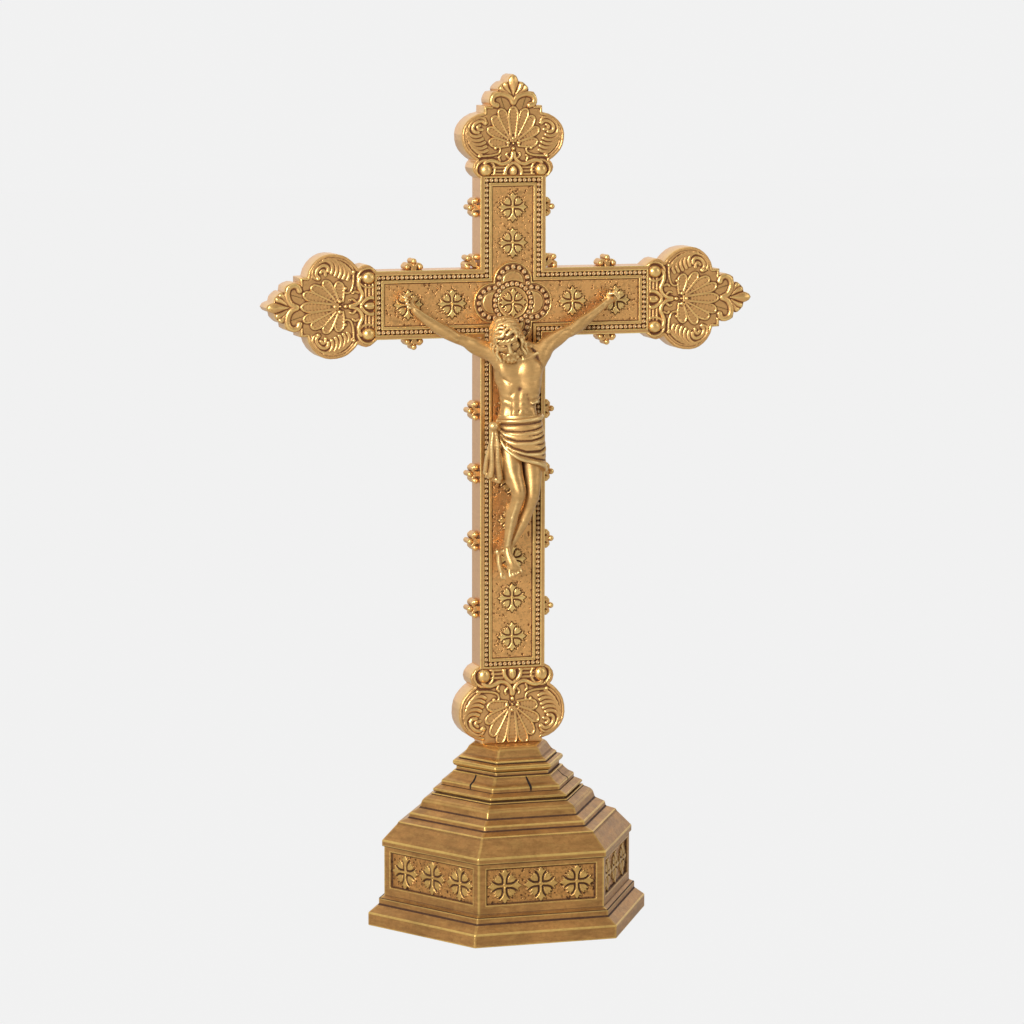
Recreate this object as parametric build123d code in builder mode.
from build123d import *
from math import atan2, cos, hypot, pi, radians, sin
import os

os.makedirs("parts", exist_ok=True)

# Overall frame: origin under the middle of the base, front towards minus Y, up is plus Z
total_height = 400.0
bead_gap = 0.1

# Hexagonal base, each radius is measured to a corner, tiers stacked from the ground up
sides = 6
side_turn = 360.0 / sides
drum_radius = 61.0
plinth_overhang = 8.0
foot_overhang = 2.8
apron_overhang = 2.0
eave_overhang = 1.2
felt_inset = 5.0
felt_thickness = 1.9
foot_lift = 0.4
plinth_top = 6.5
foot_slope_height = 3.7
foot_fillet_height = 3.1
apron_height = 1.0
drum_height = 24.7
eave_height = 2.8
roof_height = 22.1
neck_radius = 35.8
neck_height = 0.6
tier_height = 11.7
tier_fillet_radius = 25.6
cap_height = 10.6
cap_top_radius = 17.6

plinth_radius = drum_radius + plinth_overhang
foot_fillet_radius = drum_radius + foot_overhang
drum_apron_radius = drum_radius + apron_overhang
eave_radius = drum_radius + eave_overhang
felt_radius = plinth_radius - felt_inset
foot_slope_top = plinth_top + foot_slope_height
foot_top = foot_slope_top + foot_fillet_height
drum_apron_top = foot_top + apron_height
drum_top = foot_top + drum_height
eave_top = drum_top + eave_height
neck_top = eave_top + roof_height
roof_top = neck_top - neck_height
tier_top = neck_top + tier_height
base_height = tier_top + cap_height

# Mouldings of the three upper tiers, as shares from inner to outer radius and from foot to top of the tier
roof_shares = ((0.7121, 0.3439), (0.6970, 0.3846), (0.5076, 0.4615), (0.4848, 0.5656), (0.2992, 0.6697),
               (0.2727, 0.7783))
roof_round_shares = ((0.2121, 0.8688), (0.0985, 0.9321))
roof_fillet_share = (0.0758, 0.9321)
tier_foot_share = (1.0490, 0.0)
tier_torus_shares = ((1.1471, 0.0812), (1.0392, 0.1624))
tier_step_shares = ((0.7843, 0.2564), (0.7255, 0.2564), (0.7255, 0.4359), (0.6569, 0.4872))
tier_cove_shares = ((0.3235, 0.6581), (0.1569, 0.8291))
tier_fillet_share = (0.0, 0.8291)
cap_torus_shares = ((1.25, 0.1698), (0.975, 0.3302))
cap_step_shares = ((0.825, 0.3302), (0.825, 0.4340), (0.55, 0.5472), (0.375, 0.7170))

# Sunk panels of the base and the slit in each face of the upper tier
frieze_panel_margin = 3.8
frieze_panel_height = 17.0
frieze_panel_rise = 0.85
frieze_panel_depth = 1.4
frieze_rosette_diameter = 15.8
frieze_rosette_pitch = 17.6
slit_width = 0.9
slit_length = 5.0
slit_depth = 1.6
slit_offset = 2.4
slit_lean = 14.0
slit_rise = 7.5
frieze_panel_width = drum_radius - frieze_panel_margin * 2
frieze_panel_z = (drum_apron_top + drum_top) / 2 + frieze_panel_rise
frieze_rosettes_per_side = int(frieze_panel_width / frieze_rosette_pitch)

# Tie rod that clamps the base to the cross, with its nut and washer
rod_diameter = 6.0
rod_bottom = 2.6
rod_socket = 14.0
rod_clearance = 0.3
washer_diameter = 15.0
washer_thickness = 1.2
nut_across_flats = 10.0
nut_height = 5.0
counterbore_diameter = 17.0
counterbore_top = 9.5

# Short pins that keep the tiers from turning on the rod
tier_pin_diameter = 3.0
tier_pin_length = 8.0
tier_pin_offset = 17.0
tier_pin_levels = (foot_top, drum_top, neck_top)

# Cross body
bar_half = 15.9
bar_thickness = 13.8
arm_end = 66.8
head_length = 59.0
finial_length = 47.0
foot_finial_kept = 36.1
rim_width = 2.1
channel_width = 2.3
fillet_width = 1.5
channel_depth = 1.6
fillet_drop = 0.4
panel_depth = 1.3
back_panel_depth = 0.8
end_margin = 0.9
bar_top = total_height - finial_length
crossing_z = bar_top - head_length
bar_bottom = base_height + foot_finial_kept
shaft_length = crossing_z - bar_half - bar_bottom

# Bead border lying in the channel
bead_radius = 1.0
bead_pitch = 2.3

# Panel rosettes
rosette_diameter = 14.4
rosette_height = 1.0
rosette_web = 0.35
rosette_web_share = 0.62
rosette_pitch = 18.48
rosette_margin = 8.0
shaft_rosette_rise = 14.8
upper_rosette_drops = (14.6, 31.2)
arm_rosette_shares = (0.2176, 0.6611)

# Quatrefoil medallion on the crossing
lobe_offset = 9.6
lobe_radius = 9.4
medallion_thickness = 0.7
medallion_rim = 0.7
medallion_rim_height = 1.5
medallion_field_radius = 5.2
medallion_field_height = 1.0
medallion_disc_radius = 7.5
medallion_disc_height = 1.1
ring_radius = 8.8
ring_beads = 20
lobe_bead_radius = 6.9
lobe_bead_count = 18
lobe_bead_reach = 10.6
medallion_reach = lobe_offset + lobe_radius
shaft_rosette_top = crossing_z - medallion_reach - rosette_margin - rosette_diameter / 2
shaft_rosette_room = shaft_rosette_top - bar_bottom - shaft_rosette_rise

# Finials, each given by its length, half width and the height kept
finial_thickness = 12.9
finial_half = 25.0
side_finial_length = 51.6
side_finial_half = 24.3
foot_finial_kept_share = 0.65876
foot_finial_length = foot_finial_kept / foot_finial_kept_share
foot_finial_half = 26.2
finial_tip_share = (0.0, 1.0)
finial_leaf_shares = ((0.062, 0.985), (0.105, 0.93))
finial_leaflet_shares = ((0.19, 0.921), (0.294, 0.868), (0.274, 0.835))
finial_bump_shares = ((0.40, 0.825), (0.464, 0.745), (0.44, 0.692))
finial_shoulder_shares = ((0.565, 0.692), (0.57, 0.625))
finial_lobe_shares = ((0.81, 0.577), (0.948, 0.50), (1.0, 0.41), (0.968, 0.294), (0.852, 0.206), (0.715, 0.152))
finial_collar_share = (0.79, 0.079)
collar_drop = 1.2
petal_pivot_share = 0.28
petal_turns = (0.0, 22.0, -22.0, 44.0, -44.0, 66.0, -66.0, 88.0, -88.0)
petal_reach_shares = (0.345, 0.335, 0.335, 0.30, 0.30, 0.255, 0.255, 0.225, 0.225)
petal_width_share = 0.13
petal_height = 0.9
petal_gap_share = 0.085
pearl_radius = 1.1
pearl_offset = 2.4
volute_centre_share = (0.70, 0.40)
volute_size_shares = (0.215, 0.175)
volute_ring = 1.2
volute_height = 0.9
volute_eye_share = 0.45
collar_ball_radius = 3.2
collar_ball_share = (0.58, 0.085)
oval_centre_share = (0.21, 0.745)
oval_size_shares = (0.16, 0.052)
oval_depth = 0.8
bud_size_shares = (0.14, 0.07)
bud_rise_share = 0.085
bud_height = 1.2
collar_bar_shares = (0.045, 0.115)
collar_bar_width = 1.6
collar_bar_reach_share = 0.40
collar_bar_height = 0.6
dowel_diameter = 4.0
dowel_length = 18.0

# Trefoil crockets along the edges of the cross
crocket_ball_radius = 1.75
crocket_side_out = 3.5
crocket_side_along = 3.0
crocket_tip_out = 5.7
crocket_base_half = 2.0
crocket_thickness = 3.0
crocket_spigot_diameter = 1.8
crocket_spigot_length = 3.0
corner_stem = 1.6
shaft_crocket_shares = (0.7787, 0.5886, 0.3858, 0.1818)
upper_crocket_drop = 14.7
arm_crocket_inset = 19.6

# Figure, measured from the crossing on the front face: joints as points and limbs as radii
hand_left = (-51.4, -3.9, 2.4)
hand_right = (47.2, -3.9, 1.6)
foot_point = (-4.6, -8.1, -123.5)
torso = (((-0.5, -8.7, -75.0), 9.5, 6.6), ((0.2, -8.9, -64.0), 10.4, 7.0), ((1.0, -9.1, -49.0), 8.9, 6.0),
         ((0.9, -9.3, -38.0), 10.2, 6.9), ((1.0, -9.3, -30.0), 11.2, 7.1), ((0.6, -8.7, -24.0), 10.6, 5.8),
         ((-0.6, -8.3, -20.0), 5.2, 4.4))
neck = (((-0.2, -8.5, -24.0), 4.4, 4.2), ((-1.8, -9.5, -19.5), 3.5, 3.5), ((-4.0, -11.3, -14.0), 3.6, 3.8))
arm_left = (((-6.5, -8.3, -25.4), 4.6), ((-12.0, -7.9, -23.1), 4.4), ((-18.3, -7.1, -20.2), 3.4),
            ((-29.0, -6.1, -15.4), 2.9), ((-37.0, -5.6, -11.3), 2.9), ((-45.5, -4.9, -5.4), 2.1),
            ((-49.2, -4.3, -1.6), 1.7), ((-50.6, -4.1, 0.6), 2.4), ((-51.6, -4.0, 2.8), 2.5),
            ((-52.4, -4.0, 5.2), 1.5))
arm_right = (((7.5, -8.3, -25.4), 4.6), ((12.0, -7.9, -22.4), 4.4), ((17.0, -7.1, -19.0), 3.4),
             ((25.0, -6.1, -14.2), 2.9), ((31.5, -5.6, -9.8), 2.9), ((39.3, -4.9, -4.2), 2.1),
             ((43.0, -4.3, -1.6), 1.7), ((45.4, -4.1, 0.3), 2.4), ((47.3, -4.0, 1.8), 2.5),
             ((49.4, -4.0, 3.4), 1.5))
leg_front = (((-4.6, -8.9, -68.0), 5.8), ((-4.6, -11.5, -78.0), 4.6), ((-2.6, -14.7, -85.4), 3.7),
             ((-2.0, -15.3, -90.4), 3.3), ((-4.4, -12.5, -98.0), 3.4), ((-5.4, -10.7, -107.0), 2.5),
             ((-5.8, -9.3, -115.6), 1.8), ((-5.2, -9.6, -119.8), 2.3), ((-3.9, -9.9, -124.2), 2.3),
             ((-2.7, -10.1, -127.4), 1.5))
leg_rear = (((5.4, -8.5, -68.0), 5.8), ((6.0, -10.5, -79.0), 4.5), ((5.8, -12.5, -87.4), 3.6),
            ((5.2, -12.1, -91.6), 3.2), ((3.2, -9.5, -99.0), 3.1), ((-1.2, -6.5, -110.0), 2.2),
            ((-4.9, -5.0, -118.0), 1.7), ((-5.7, -5.1, -121.6), 2.1), ((-6.4, -5.3, -125.6), 2.0),
            ((-6.9, -5.5, -128.8), 1.3))
knee_station = 3
cloth = (((0.8, -8.9, -53.4), 10.6, 7.4), ((0.4, -9.3, -60.0), 12.4, 8.4), ((0.2, -9.3, -69.0), 13.0, 8.7),
         ((0.6, -9.5, -79.0), 12.2, 8.3))
cloth_hem = (-4.0, 0.0, -71.5)
cloth_hem_lean = 16.0
cloth_tail = (((-11.6, -11.1, -56.0), 2.4, 2.4), ((-12.8, -10.7, -64.0), 2.9, 2.6), ((-13.6, -9.5, -73.0), 4.6, 3.2),
              ((-13.4, -8.3, -80.0), 5.4, 3.4), ((-13.2, -7.9, -82.4), 4.0, 2.6))
cloth_knot = (-12.0, -12.1, -57.4)
cloth_knot_radius = 3.1
skull_centre = (-5.6, -12.1, -14.6)
skull_half_height = 8.8
skull_half_width = 6.6
skull_lean = 16.0
skull_shares = (-0.97, -0.8, -0.4, 0.0, 0.4, 0.8, 0.97)
beard = (((-6.2, -15.1, -18.0), 4.0, 3.4), ((-5.8, -15.7, -22.4), 3.5, 3.0), ((-5.2, -15.5, -25.8), 1.6, 1.6))
hair_left = (((-10.0, -11.1, -12.0), 3.2, 3.6), ((-10.6, -11.5, -18.0), 2.8, 3.2), ((-9.2, -12.1, -24.4), 2.0, 2.2))
hair_right = (((-0.6, -10.1, -12.0), 3.2, 3.6), ((1.0, -10.9, -18.0), 3.0, 3.2), ((2.6, -12.5, -25.2), 2.0, 2.2))
brow_ridge = (((-8.6, -18.1, -13.6), 0.9), ((-6.6, -18.7, -13.4), 1.0), ((-4.6, -18.1, -13.0), 0.9))
nose_ridge = (((-6.6, -18.7, -13.8), 0.6), ((-6.5, -19.5, -16.0), 0.9), ((-6.4, -19.3, -17.2), 1.0))
nail_radius = 0.7
nail_depth = 5.0
nail_front = 4.2


def apothem(radius):
    # Distance from the middle of a hexagon to its flat side
    return radius * cos(pi / sides)


def on_profile(point):
    # Corner radius and height turned into a point of the front profile
    return (-apothem(point[0]), point[1])


def hex_tier(*steps):
    # One side of a moulded hexagon, mitred at the corners and repeated round the axis
    with BuildPart() as side:
        with BuildSketch(Plane.YZ):
            with BuildLine():
                start = (0, steps[0][1])
                here = start
                for step in steps:
                    if isinstance(step, list):
                        ThreePointArc(here, on_profile(step[0]), on_profile(step[1]))
                        here = on_profile(step[1])
                    else:
                        Line(here, on_profile(step))
                        here = on_profile(step)
                axis_end = (0, here[1])
                Line(here, axis_end)
                Line(axis_end, start)
            make_face()
        extrude(amount=plinth_radius, both=True)
        for lean in (1, -1):
            mitre = (lean * cos(pi / sides), -sin(pi / sides), 0)
            split(bisect_by=Plane(origin=(0, 0, 0), z_dir=mitre), keep=Keep.TOP)
    with BuildPart() as tier:
        with PolarLocations(0, sides):
            add(side.part)
    return tier.part


def moulding(inner, outer, low, high, shares):
    # Points of a tier's moulding, from shares of its radii and heights
    return [(inner + (outer - inner) * across, low + (high - low) * up) for across, up in shares]


def side_plane(turn, distance, height):
    # Plane on one side of the hexagon, facing outwards
    outward = (cos(radians(turn)), sin(radians(turn)), 0)
    along = (-sin(radians(turn)), cos(radians(turn)), 0)
    return Plane(origin=(outward[0] * distance, outward[1] * distance, height), x_dir=along, z_dir=outward)


def tier_pin_spots(level):
    # Two pin places at one joint between tiers
    return [(tier_pin_offset, 0, level), (-tier_pin_offset, 0, level)]


side_turns = [side_turn * number - 90.0 for number in range(sides)]
pieces = {}

# Felt pad let into the underside of the foot
with BuildPart() as felt_pad:
    with BuildSketch():
        RegularPolygon(felt_radius, sides)
    extrude(amount=felt_thickness)
pieces["felt_pad"] = felt_pad.part

# Foot moulding with the counterbore for the nut
with BuildPart() as foot_moulding:
    add(hex_tier((plinth_radius, foot_lift), (plinth_radius, plinth_top), (foot_fillet_radius, foot_slope_top),
                 (foot_fillet_radius, foot_top)))
    with BuildSketch(Plane.XY.offset(foot_lift)):
        RegularPolygon(felt_radius, sides)
    extrude(amount=felt_thickness - foot_lift, mode=Mode.SUBTRACT)
    with BuildSketch(Plane.XY.offset(felt_thickness)):
        Circle(counterbore_diameter / 2)
    extrude(amount=counterbore_top - felt_thickness, mode=Mode.SUBTRACT)
    with Locations((0, 0, foot_top)):
        Hole(rod_diameter / 2 + rod_clearance)
    with Locations(*tier_pin_spots(foot_top)):
        Hole(tier_pin_diameter / 2, tier_pin_length / 2)
pieces["foot_moulding"] = foot_moulding.part

# Drum with a sunk panel in each side
with BuildPart() as frieze_drum:
    add(hex_tier((drum_apron_radius, foot_top), (drum_radius, drum_apron_top), (drum_radius, drum_top)))
    for turn in side_turns:
        with BuildSketch(side_plane(turn, apothem(drum_radius), frieze_panel_z)):
            Rectangle(frieze_panel_width, frieze_panel_height)
        extrude(amount=-frieze_panel_depth, mode=Mode.SUBTRACT)
    with Locations((0, 0, drum_top)):
        Hole(rod_diameter / 2 + rod_clearance)
    for level in (foot_top, drum_top):
        with Locations(*tier_pin_spots(level)):
            Cylinder(tier_pin_diameter / 2, tier_pin_length, mode=Mode.SUBTRACT)
pieces["frieze_drum"] = frieze_drum.part

# Stepped roof with its eave and a low neck for the upper tier
with BuildPart() as stepped_roof:
    roof = (neck_radius, eave_radius, eave_top, neck_top)
    roof_fillet = moulding(*roof, [roof_fillet_share])[0]
    add(hex_tier((eave_radius, drum_top), (eave_radius, eave_top), *moulding(*roof, roof_shares),
                 moulding(*roof, roof_round_shares), roof_fillet, (roof_fillet[0], roof_top), (neck_radius, roof_top),
                 (neck_radius, neck_top)))
    with Locations((0, 0, neck_top)):
        Hole(rod_diameter / 2 + rod_clearance)
    for level in (drum_top, neck_top):
        with Locations(*tier_pin_spots(level)):
            Cylinder(tier_pin_diameter / 2, tier_pin_length, mode=Mode.SUBTRACT)
pieces["stepped_roof"] = stepped_roof.part

# Upper tier with one leaning slit in the cove of each side
with BuildPart() as upper_tier:
    tier = (tier_fillet_radius, neck_radius, neck_top, tier_top)
    steps = moulding(*tier, tier_step_shares)
    cove = moulding(*tier, tier_cove_shares)
    add(hex_tier(*moulding(*tier, [tier_foot_share]), moulding(*tier, tier_torus_shares), *steps, cove,
                 *moulding(*tier, [tier_fillet_share]), (tier_fillet_radius, tier_top)))
    cove_front = apothem(steps[-1][0])
    for turn in side_turns:
        with BuildSketch(side_plane(turn, cove_front, neck_top + slit_rise)):
            with Locations((slit_offset, 0)):
                SlotOverall(slit_length, slit_width, rotation=90.0 + slit_lean)
        extrude(amount=-(cove_front - apothem(cove[-1][0])) - slit_depth, mode=Mode.SUBTRACT)
    with Locations((0, 0, tier_top)):
        Hole(rod_diameter / 2 + rod_clearance)
    with Locations(*tier_pin_spots(neck_top)):
        Cylinder(tier_pin_diameter / 2, tier_pin_length, mode=Mode.SUBTRACT)
pieces["upper_tier"] = upper_tier.part

# Cap that carries the foot of the cross
with BuildPart() as cap:
    crown = (cap_top_radius, tier_fillet_radius, tier_top, base_height)
    add(hex_tier((tier_fillet_radius, tier_top), moulding(*crown, cap_torus_shares), *moulding(*crown, cap_step_shares),
                 (cap_top_radius, base_height)))
    with Locations((0, 0, base_height)):
        Hole(rod_diameter / 2 + rod_clearance)
pieces["cap"] = cap.part

# Tie rod, washer and nut
with BuildPart() as tie_rod:
    with BuildSketch(Plane.XY.offset(rod_bottom)):
        Circle(rod_diameter / 2)
    extrude(amount=bar_bottom + rod_socket - rod_bottom)
pieces["tie_rod"] = tie_rod.part

with BuildPart() as tie_washer:
    with BuildSketch(Plane.XY.offset(counterbore_top - washer_thickness)):
        Circle(washer_diameter / 2)
        Circle(rod_diameter / 2, mode=Mode.SUBTRACT)
    extrude(amount=washer_thickness)
pieces["tie_washer"] = tie_washer.part

with BuildPart() as tie_nut:
    with BuildSketch(Plane.XY.offset(counterbore_top - washer_thickness - nut_height)):
        RegularPolygon(nut_across_flats / 2, sides, major_radius=False)
        Circle(rod_diameter / 2, mode=Mode.SUBTRACT)
    extrude(amount=nut_height)
pieces["tie_nut"] = tie_nut.part

# Pins between the tiers
with BuildPart() as tier_pins:
    for level in tier_pin_levels:
        with Locations(*tier_pin_spots(level)):
            Cylinder(tier_pin_diameter / 2, tier_pin_length)
pieces["tier_pins"] = tier_pins.part

# Heights towards the front of the cross, measured from its middle plane
front_face = bar_thickness / 2
channel_floor = front_face - channel_depth
panel_ground = front_face - panel_depth
channel_outer = bar_half - rim_width
channel_inner = channel_outer - channel_width
panel_half = channel_inner - fillet_width
bead_line = (channel_outer + channel_inner) / 2
channel_end_margin = end_margin
panel_end_margin = end_margin + channel_width + fillet_width
bead_end_margin = end_margin + channel_width / 2
finial_front = finial_thickness / 2


def cross_outline(half, margin):
    # Plus shape of the bars, narrowed to a half width and drawn back from the ends
    upper = bar_top - margin
    lower = bar_bottom + margin
    reach = arm_end - margin
    with Locations((0, (upper + lower) / 2)):
        Rectangle(half * 2, upper - lower)
    with Locations((0, crossing_z)):
        Rectangle(reach * 2, half * 2)


def cross_sketch(half, margin):
    # Plus shape as a face of its own
    with BuildSketch() as outline:
        cross_outline(half, margin)
    return outline.sketch


def rosette(diameter):
    # Equal-armed cross with flared ends and a leaf in each quarter, on a thin web
    radius = diameter / 2
    arm_shares = ((-0.07, 0.0), (-0.07, 0.42), (-0.26, 0.74), (-0.12, 0.80), (0.0, 1.0), (0.12, 0.80),
                  (0.26, 0.74), (0.07, 0.42), (0.07, 0.0))
    leaf_shares = ((0.0, 0.16), (0.24, 0.44), (0.22, 0.66), (0.10, 0.72), (0.0, 0.84), (-0.10, 0.72),
                   (-0.22, 0.66), (-0.24, 0.44))
    quarter = 90.0
    with BuildPart() as flower:
        with BuildSketch():
            Circle(radius * rosette_web_share)
        extrude(amount=rosette_web)
        with BuildSketch():
            with PolarLocations(0, 4):
                Polygon(*[(x * radius, y * radius) for x, y in arm_shares], align=None)
            with PolarLocations(0, 4, start_angle=quarter / 2):
                Polygon(*[(x * radius, y * radius) for x, y in leaf_shares], align=None)
        extrude(amount=rosette_height)
    return flower.part


def dome(radius):
    # Half ball standing on its flat side
    with BuildPart() as half_ball:
        Sphere(radius)
        split(bisect_by=Plane.XY, keep=Keep.TOP)
    return half_ball.part


def placed(piece, depth, spots):
    # Copies of a small piece set on the front at a depth from the middle plane
    plane = Plane.XZ.offset(depth)
    return [plane * Location(spot) * piece for spot in spots]


def evenly(start, end, pitch):
    # Points from a start towards an end at about the given pitch, the end left out
    count = max(1, round(hypot(end[0] - start[0], end[1] - start[1]) / pitch))
    return [(start[0] + (end[0] - start[0]) * step / count, start[1] + (end[1] - start[1]) * step / count)
            for step in range(count)]


# Rosettes in the panels of the base
frieze_flower = rosette(frieze_rosette_diameter)
frieze_ground = apothem(drum_radius) - frieze_panel_depth
frieze_row = [frieze_rosette_pitch * (number - (frieze_rosettes_per_side - 1) / 2)
              for number in range(frieze_rosettes_per_side)]
frieze_rosettes = Compound([side_plane(turn, frieze_ground, frieze_panel_z) * Location((along, 0, 0)) * frieze_flower
                            for turn in side_turns for along in frieze_row])
pieces["frieze_rosettes"] = frieze_rosettes

# Crocket places: point on the bar, direction outwards, whether it sits in an inner corner
corner_reach = bar_half + corner_stem * sin(pi / 4)
corner_rise = crossing_z + bar_half + corner_stem * sin(pi / 4)
crockets = {}
for side_name, sign in (("left", -1), ("right", 1)):
    upper_height = bar_top - upper_crocket_drop
    crockets[f"crocket_upper_{side_name}"] = (sign * bar_half, upper_height, 90.0 - sign * 90.0, False)
    crockets[f"crocket_corner_{side_name}"] = (sign * corner_reach, corner_rise, 90.0 - sign * 45.0, True)
    for number, share in enumerate(shaft_crocket_shares):
        height = bar_bottom + shaft_length * share
        crockets[f"crocket_shaft_{side_name}_{number + 1}"] = (sign * bar_half, height, 90.0 - sign * 90.0, False)
    across = sign * (arm_end - arm_crocket_inset)
    crockets[f"crocket_arm_{side_name}_above"] = (across, crossing_z + bar_half, 90.0, False)
    crockets[f"crocket_arm_{side_name}_below"] = (across, crossing_z - bar_half, -90.0, False)


def crocket_frame(place):
    # Plane in the middle of the bar with its Y axis pointing outwards from the bar
    along, height, turn, corner = place
    beside = (sin(radians(turn)), 0, -cos(radians(turn)))
    return Plane(origin=(along, 0, height), x_dir=beside, z_dir=(0, -1, 0))


# Straight pin of a crocket, also used to bore its hole
with BuildPart() as crocket_spigot:
    with BuildSketch(Plane.XZ.offset(crocket_spigot_length)):
        Circle(crocket_spigot_diameter / 2)
    extrude(amount=-crocket_spigot_length - crocket_side_out)

# Cross body with its bead channel, raised fillet and sunk panel
with BuildPart() as cross_body:
    with BuildSketch(Plane.XZ):
        cross_outline(bar_half, 0)
    extrude(amount=front_face, both=True)
    with BuildSketch(Plane.XZ.offset(front_face)):
        cross_outline(channel_outer, channel_end_margin)
        add(cross_sketch(channel_inner, channel_end_margin + channel_width), mode=Mode.SUBTRACT)
    extrude(amount=-channel_depth, mode=Mode.SUBTRACT)
    with BuildSketch(Plane.XZ.offset(front_face)):
        cross_outline(channel_inner, channel_end_margin + channel_width)
    extrude(amount=-fillet_drop, mode=Mode.SUBTRACT)
    with BuildSketch(Plane.XZ.offset(front_face)):
        cross_outline(panel_half, panel_end_margin)
    extrude(amount=-panel_depth, mode=Mode.SUBTRACT)
    with BuildSketch(Plane.XZ.offset(-front_face)):
        cross_outline(channel_inner, panel_end_margin)
    extrude(amount=back_panel_depth, mode=Mode.SUBTRACT)
    with BuildSketch(Plane.XY.offset(bar_bottom)):
        Circle(rod_diameter / 2)
    extrude(amount=rod_socket, mode=Mode.SUBTRACT)
    with BuildSketch(Plane.XY.offset(bar_top)):
        Circle(dowel_diameter / 2)
    extrude(amount=-dowel_length / 2, mode=Mode.SUBTRACT)
    for sign in (1, -1):
        with BuildSketch(Plane.YZ.offset(sign * arm_end)):
            with Locations((0, crossing_z)):
                Circle(dowel_diameter / 2)
        extrude(amount=-sign * dowel_length / 2, mode=Mode.SUBTRACT)
    for place in crockets.values():
        add(crocket_frame(place) * crocket_spigot.part, mode=Mode.SUBTRACT)
    for point in (hand_left, hand_right, foot_point):
        with BuildSketch(Plane.XZ.offset(panel_ground)):
            with Locations((point[0], crossing_z + point[2])):
                Circle(nail_radius)
        extrude(amount=-nail_depth, mode=Mode.SUBTRACT)
pieces["cross_body"] = cross_body.part

# Bead border, one half ball after another along the channel
upper_row = bar_top - bead_end_margin
lower_row = bar_bottom + bead_end_margin
outer_column = arm_end - bead_end_margin
above = crossing_z + bead_line
below = crossing_z - bead_line
border = [(bead_line, above), (bead_line, upper_row), (-bead_line, upper_row), (-bead_line, above),
          (-outer_column, above), (-outer_column, below), (-bead_line, below), (-bead_line, lower_row),
          (bead_line, lower_row), (bead_line, below), (outer_column, below), (outer_column, above)]
border_spots = []
for start, end in zip(border, border[1:] + border[:1]):
    border_spots += evenly(start, end, bead_pitch)
bead = dome(bead_radius)
pieces["bead_border"] = Compound(placed(bead, channel_floor, border_spots))

# Places of the rosettes in the cross panels
shaft_rosette_count = int(shaft_rosette_room / rosette_pitch) + 1
rosette_spots = [(0, bar_top - drop) for drop in upper_rosette_drops]
rosette_foot = bar_bottom + shaft_rosette_rise
rosette_spots += [(0, rosette_foot + rosette_pitch * number) for number in range(shaft_rosette_count)]
arm_room = arm_end - medallion_reach
arm_rosette_offsets = [medallion_reach + arm_room * share for share in arm_rosette_shares]
rosette_spots += [(sign * along, crossing_z) for sign in (1, -1) for along in arm_rosette_offsets]

# Quatrefoil medallion with a rosette on its disc
lobe_spots = [(lobe_offset, crossing_z), (-lobe_offset, crossing_z), (0, crossing_z + lobe_offset),
              (0, crossing_z - lobe_offset)]
with BuildPart() as medallion:
    with BuildSketch(Plane.XZ.offset(panel_ground)):
        with Locations(*lobe_spots):
            Circle(lobe_radius)
    extrude(amount=medallion_thickness)
    with BuildSketch(Plane.XZ.offset(panel_ground)):
        with Locations(*lobe_spots):
            Circle(lobe_radius)
        with Locations(*lobe_spots):
            Circle(lobe_radius - medallion_rim, mode=Mode.SUBTRACT)
    extrude(amount=medallion_rim_height)
    with BuildSketch(Plane.XZ.offset(panel_ground)):
        with Locations(*lobe_spots):
            Circle(medallion_field_radius)
        with Locations((0, crossing_z)):
            Circle(ring_radius + bead_radius + bead_gap, mode=Mode.SUBTRACT)
    extrude(amount=medallion_field_height)
    with BuildSketch(Plane.XZ.offset(panel_ground)):
        with Locations((0, crossing_z)):
            Circle(medallion_disc_radius)
    extrude(amount=medallion_disc_height)
    add(placed(rosette(medallion_disc_radius * 2), panel_ground + medallion_disc_height, [(0, crossing_z)]))
pieces["medallion"] = medallion.part

# Beads of the medallion: the ring and the four arcs outside it
ring_spots = [(ring_radius * cos(2 * pi * n / ring_beads), crossing_z + ring_radius * sin(2 * pi * n / ring_beads))
              for n in range(ring_beads)]
arc_spots = []
for across, height in lobe_spots:
    for number in range(lobe_bead_count):
        turn = 2 * pi * number / lobe_bead_count + atan2(height - crossing_z, across)
        spot = (across + lobe_bead_radius * cos(turn), height + lobe_bead_radius * sin(turn))
        clear = all(hypot(spot[0] - x, spot[1] - z) > bead_radius * 2 + bead_gap for x, z in arc_spots)
        if clear and hypot(spot[0], spot[1] - crossing_z) > lobe_bead_reach:
            arc_spots.append(spot)
medallion_floor = panel_ground + medallion_thickness
pieces["medallion_beads"] = Compound(placed(bead, medallion_floor, ring_spots + arc_spots))


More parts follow.
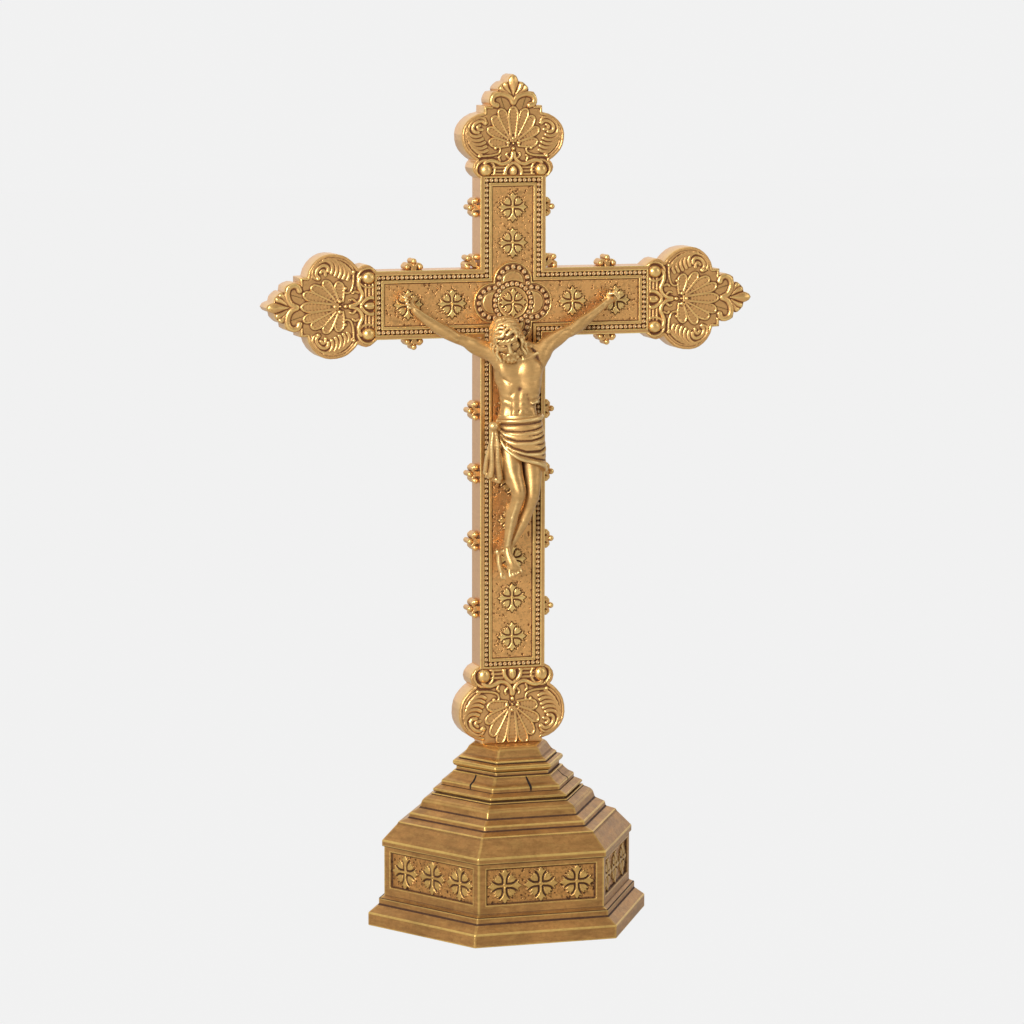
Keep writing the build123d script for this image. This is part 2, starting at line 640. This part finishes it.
def finial(length, half, kept):
    # Ornamental end of a bar, drawn upright from the bar end at zero
    def at(share):
        return (share[0] * half, share[1] * length)

    whole = kept >= length
    with BuildPart() as body:
        with BuildSketch():
            with BuildLine():
                first = (bar_half, 0)
                drop = (bar_half, -collar_drop)
                notch = at(finial_lobe_shares[-1])
                Line((0, 0), first)
                Line(first, drop)
                ThreePointArc(drop, at(finial_collar_share), notch)
                shoulder = at(finial_shoulder_shares[1])
                Spline(notch, *[at(share) for share in reversed(finial_lobe_shares[:-1])], shoulder)
                if whole:
                    Line(shoulder, at(finial_shoulder_shares[0]))
                    Line(at(finial_shoulder_shares[0]), at(finial_bump_shares[2]))
                    ThreePointArc(at(finial_bump_shares[2]), at(finial_bump_shares[1]), at(finial_bump_shares[0]))
                    Line(at(finial_bump_shares[0]), at(finial_leaflet_shares[2]))
                    ThreePointArc(*[at(share) for share in reversed(finial_leaflet_shares)])
                    Line(at(finial_leaflet_shares[0]), at(finial_leaf_shares[1]))
                    ThreePointArc(at(finial_leaf_shares[1]), at(finial_leaf_shares[0]), at(finial_tip_share))
                    Line(at(finial_tip_share), (0, 0))
                else:
                    Line(shoulder, (shoulder[0], kept))
                    Line((shoulder[0], kept), (0, kept))
                    Line((0, kept), (0, 0))
            make_face()
            mirror(about=Plane.YZ)
        extrude(amount=finial_front, both=True)
        with BuildSketch(Plane.XY.offset(finial_front)):
            pivot = petal_pivot_share * length
            for turn, reach in zip(petal_turns, petal_reach_shares):
                lean = radians(turn)
                middle = (reach + petal_gap_share) * length / 2
                with Locations((sin(lean) * middle, pivot + cos(lean) * middle)):
                    Ellipse((reach - petal_gap_share) * length / 2, petal_width_share * half / 2, rotation=90.0 - turn)
        extrude(amount=petal_height)
        for sign in (1, -1):
            centre = at(volute_centre_share)
            with BuildSketch(Plane.XY.offset(finial_front)):
                with Locations((sign * centre[0], centre[1])):
                    wide = volute_size_shares[0] * half
                    tall = volute_size_shares[1] * length
                    Ellipse(wide, tall)
                    Ellipse(wide - volute_ring, tall - volute_ring, mode=Mode.SUBTRACT)
                    Ellipse(wide * volute_eye_share, tall * volute_eye_share)
            extrude(amount=volute_height)
            ball = at(collar_ball_share)
            with Locations((sign * ball[0], ball[1], finial_front)):
                add(dome(collar_ball_radius))
        with BuildSketch(Plane.XY.offset(finial_front)):
            for share in collar_bar_shares:
                with Locations((0, share * length)):
                    Rectangle(collar_bar_reach_share * half * 2, collar_bar_width)
        extrude(amount=collar_bar_height)
        with BuildSketch(Plane.XY.offset(finial_front)):
            with Locations((0, bud_rise_share * length)):
                Ellipse(bud_size_shares[0] * half, bud_size_shares[1] * length)
        extrude(amount=bud_height)
        pearl_spots = [(pearl_offset, 0), (-pearl_offset, 0), (0, pearl_offset), (0, -pearl_offset)]
        with Locations(*[(x, pivot + y, finial_front) for x, y in pearl_spots]):
            add(dome(pearl_radius))
        if whole:
            for sign in (1, -1):
                centre = at(oval_centre_share)
                with BuildSketch(Plane.XY.offset(finial_front)):
                    with Locations((sign * centre[0], centre[1])):
                        Ellipse(oval_size_shares[0] * half, oval_size_shares[1] * length)
                extrude(amount=-oval_depth, mode=Mode.SUBTRACT)
        with BuildSketch(Plane.XZ):
            Circle(dowel_diameter / 2 if whole else rod_diameter / 2 + rod_clearance)
        extrude(amount=-(dowel_length / 2 if whole else kept), mode=Mode.SUBTRACT)
    return body.part


def bar_end(across, height, turn):
    # Plane facing the front at the end of a bar, its Y axis pointing outwards
    beside = (sin(radians(turn)), 0, -cos(radians(turn)))
    return Plane(origin=(across, 0, height), x_dir=beside, z_dir=(0, -1, 0))


# Finials of the four bar ends
side_finial = finial(side_finial_length, side_finial_half, side_finial_length)
pieces["finial_top"] = bar_end(0, bar_top, 90.0) * finial(finial_length, finial_half, finial_length)
pieces["finial_right"] = bar_end(arm_end, crossing_z, 0) * side_finial
pieces["finial_left"] = bar_end(-arm_end, crossing_z, 180.0) * side_finial

# Dowels that hold the three free finials
with BuildPart() as finial_dowels:
    with Locations((0, 0, bar_top)):
        Cylinder(dowel_diameter / 2, dowel_length)
    with Locations((arm_end, 0, crossing_z), (-arm_end, 0, crossing_z)):
        Cylinder(dowel_diameter / 2, dowel_length, rotation=(0, 90.0, 0))
pieces["finial_dowels"] = finial_dowels.part


def crocket(corner):
    # Three balls on a fan with a spigot into the bar, drawn upright from the edge of the bar
    base_half = corner_stem if corner else crocket_base_half
    with BuildPart() as trefoil:
        with BuildSketch():
            Polygon((-base_half, 0), (base_half, 0), (crocket_side_along, crocket_side_out),
                    (0, crocket_tip_out), (-crocket_side_along, crocket_side_out), align=None)
            if corner:
                Polygon((-corner_stem, 0), (0, -corner_stem), (corner_stem, 0), align=None)
        extrude(amount=crocket_thickness / 2, both=True)
        ball_spots = [(sign * crocket_side_along, crocket_side_out) for sign in (1, -1)] + [(0, crocket_tip_out)]
        for spot in ball_spots:
            with Locations(spot):
                Sphere(crocket_ball_radius, rotation=(0, 0, 90.0))
        add(crocket_spigot.part)
    return trefoil.part


# Trefoil crockets along the bars and in the inner corners
for name, place in crockets.items():
    pieces[name] = crocket_frame(place) * crocket(place[3])


def limb(stations, across=(0, -1, 0)):
    # Smooth rounded body through stations of centre and radius, or centre and two radii
    with BuildPart() as body:
        for number, station in enumerate(stations):
            before = stations[max(number - 1, 0)][0]
            after = stations[min(number + 1, len(stations) - 1)][0]
            heading = tuple(b - a for a, b in zip(before, after))
            wide = station[1]
            deep = station[-1]
            with BuildSketch(Plane(origin=station[0], x_dir=Vector(across).cross(Vector(heading)), z_dir=heading)):
                Ellipse(wide, deep)
        loft()
    return body.part


def nail_plane(point):
    # Plane at a nailed point, facing the front
    return Plane(origin=point, x_dir=(1, 0, 0), z_dir=(0, -1, 0))


# Head as a leaning egg, from the chin to the crown
skull = []
for share in skull_shares:
    rise = skull_half_height * share
    centre = (skull_centre[0] - rise * sin(radians(skull_lean)), skull_centre[1],
              skull_centre[2] + rise * cos(radians(skull_lean)))
    skull.append((centre, skull_half_width * (1 - share**2) ** 0.5))

# Nails through the hands and feet, first at the figure and then in place on the cross
figure_place = Location((0, -front_face, crossing_z))
nails = {}
for name, point in (("left", hand_left), ("right", hand_right), ("feet", foot_point)):
    with BuildPart() as nail:
        reach = panel_depth + nail_depth - point[1]
        with BuildSketch(nail_plane(point).offset(nail_front)):
            Circle(nail_radius)
        extrude(amount=-reach - nail_front)
    nails[name] = nail.part

# Rosettes of the cross panels, bored where a nail passes through
with BuildPart() as panel_rosettes:
    add(placed(rosette(rosette_diameter), panel_ground, rosette_spots))
    for nail in nails.values():
        add(figure_place * nail, mode=Mode.SUBTRACT)
pieces["panel_rosettes"] = panel_rosettes.part

# Lowest finial, bored as well where a short shaft brings the foot nail down to it
with BuildPart() as finial_bottom:
    add(bar_end(0, bar_bottom, -90.0) * finial(foot_finial_length, foot_finial_half, foot_finial_kept))
    add(figure_place * nails["feet"], mode=Mode.SUBTRACT)
pieces["finial_bottom"] = finial_bottom.part

# Figure, cast in one piece with its loincloth
with BuildPart() as corpus:
    add(limb(torso))
    for stations in (neck, arm_left, arm_right, skull, beard, hair_left, hair_right, brow_ridge, nose_ridge):
        add(limb(stations))
    for stations in (leg_front, leg_rear):
        add(limb(stations[: knee_station + 1]))
        add(limb(stations[knee_station:]))
    with BuildPart(mode=Mode.PRIVATE) as drape:
        add(limb(cloth))
        hem = (sin(radians(cloth_hem_lean)), 0, cos(radians(cloth_hem_lean)))
        split(bisect_by=Plane(origin=cloth_hem, z_dir=hem), keep=Keep.TOP)
    add(drape.part)
    add(limb(cloth_tail))
    with Locations(cloth_knot):
        Sphere(cloth_knot_radius)
    for nail in nails.values():
        add(nail, mode=Mode.SUBTRACT)
pieces["corpus"] = figure_place * corpus.part
pieces["corpus_nails"] = Compound([figure_place * nail for nail in nails.values()])

for name, piece in pieces.items():
    piece.label = name
    export_step(piece, f"parts/{name}.step")
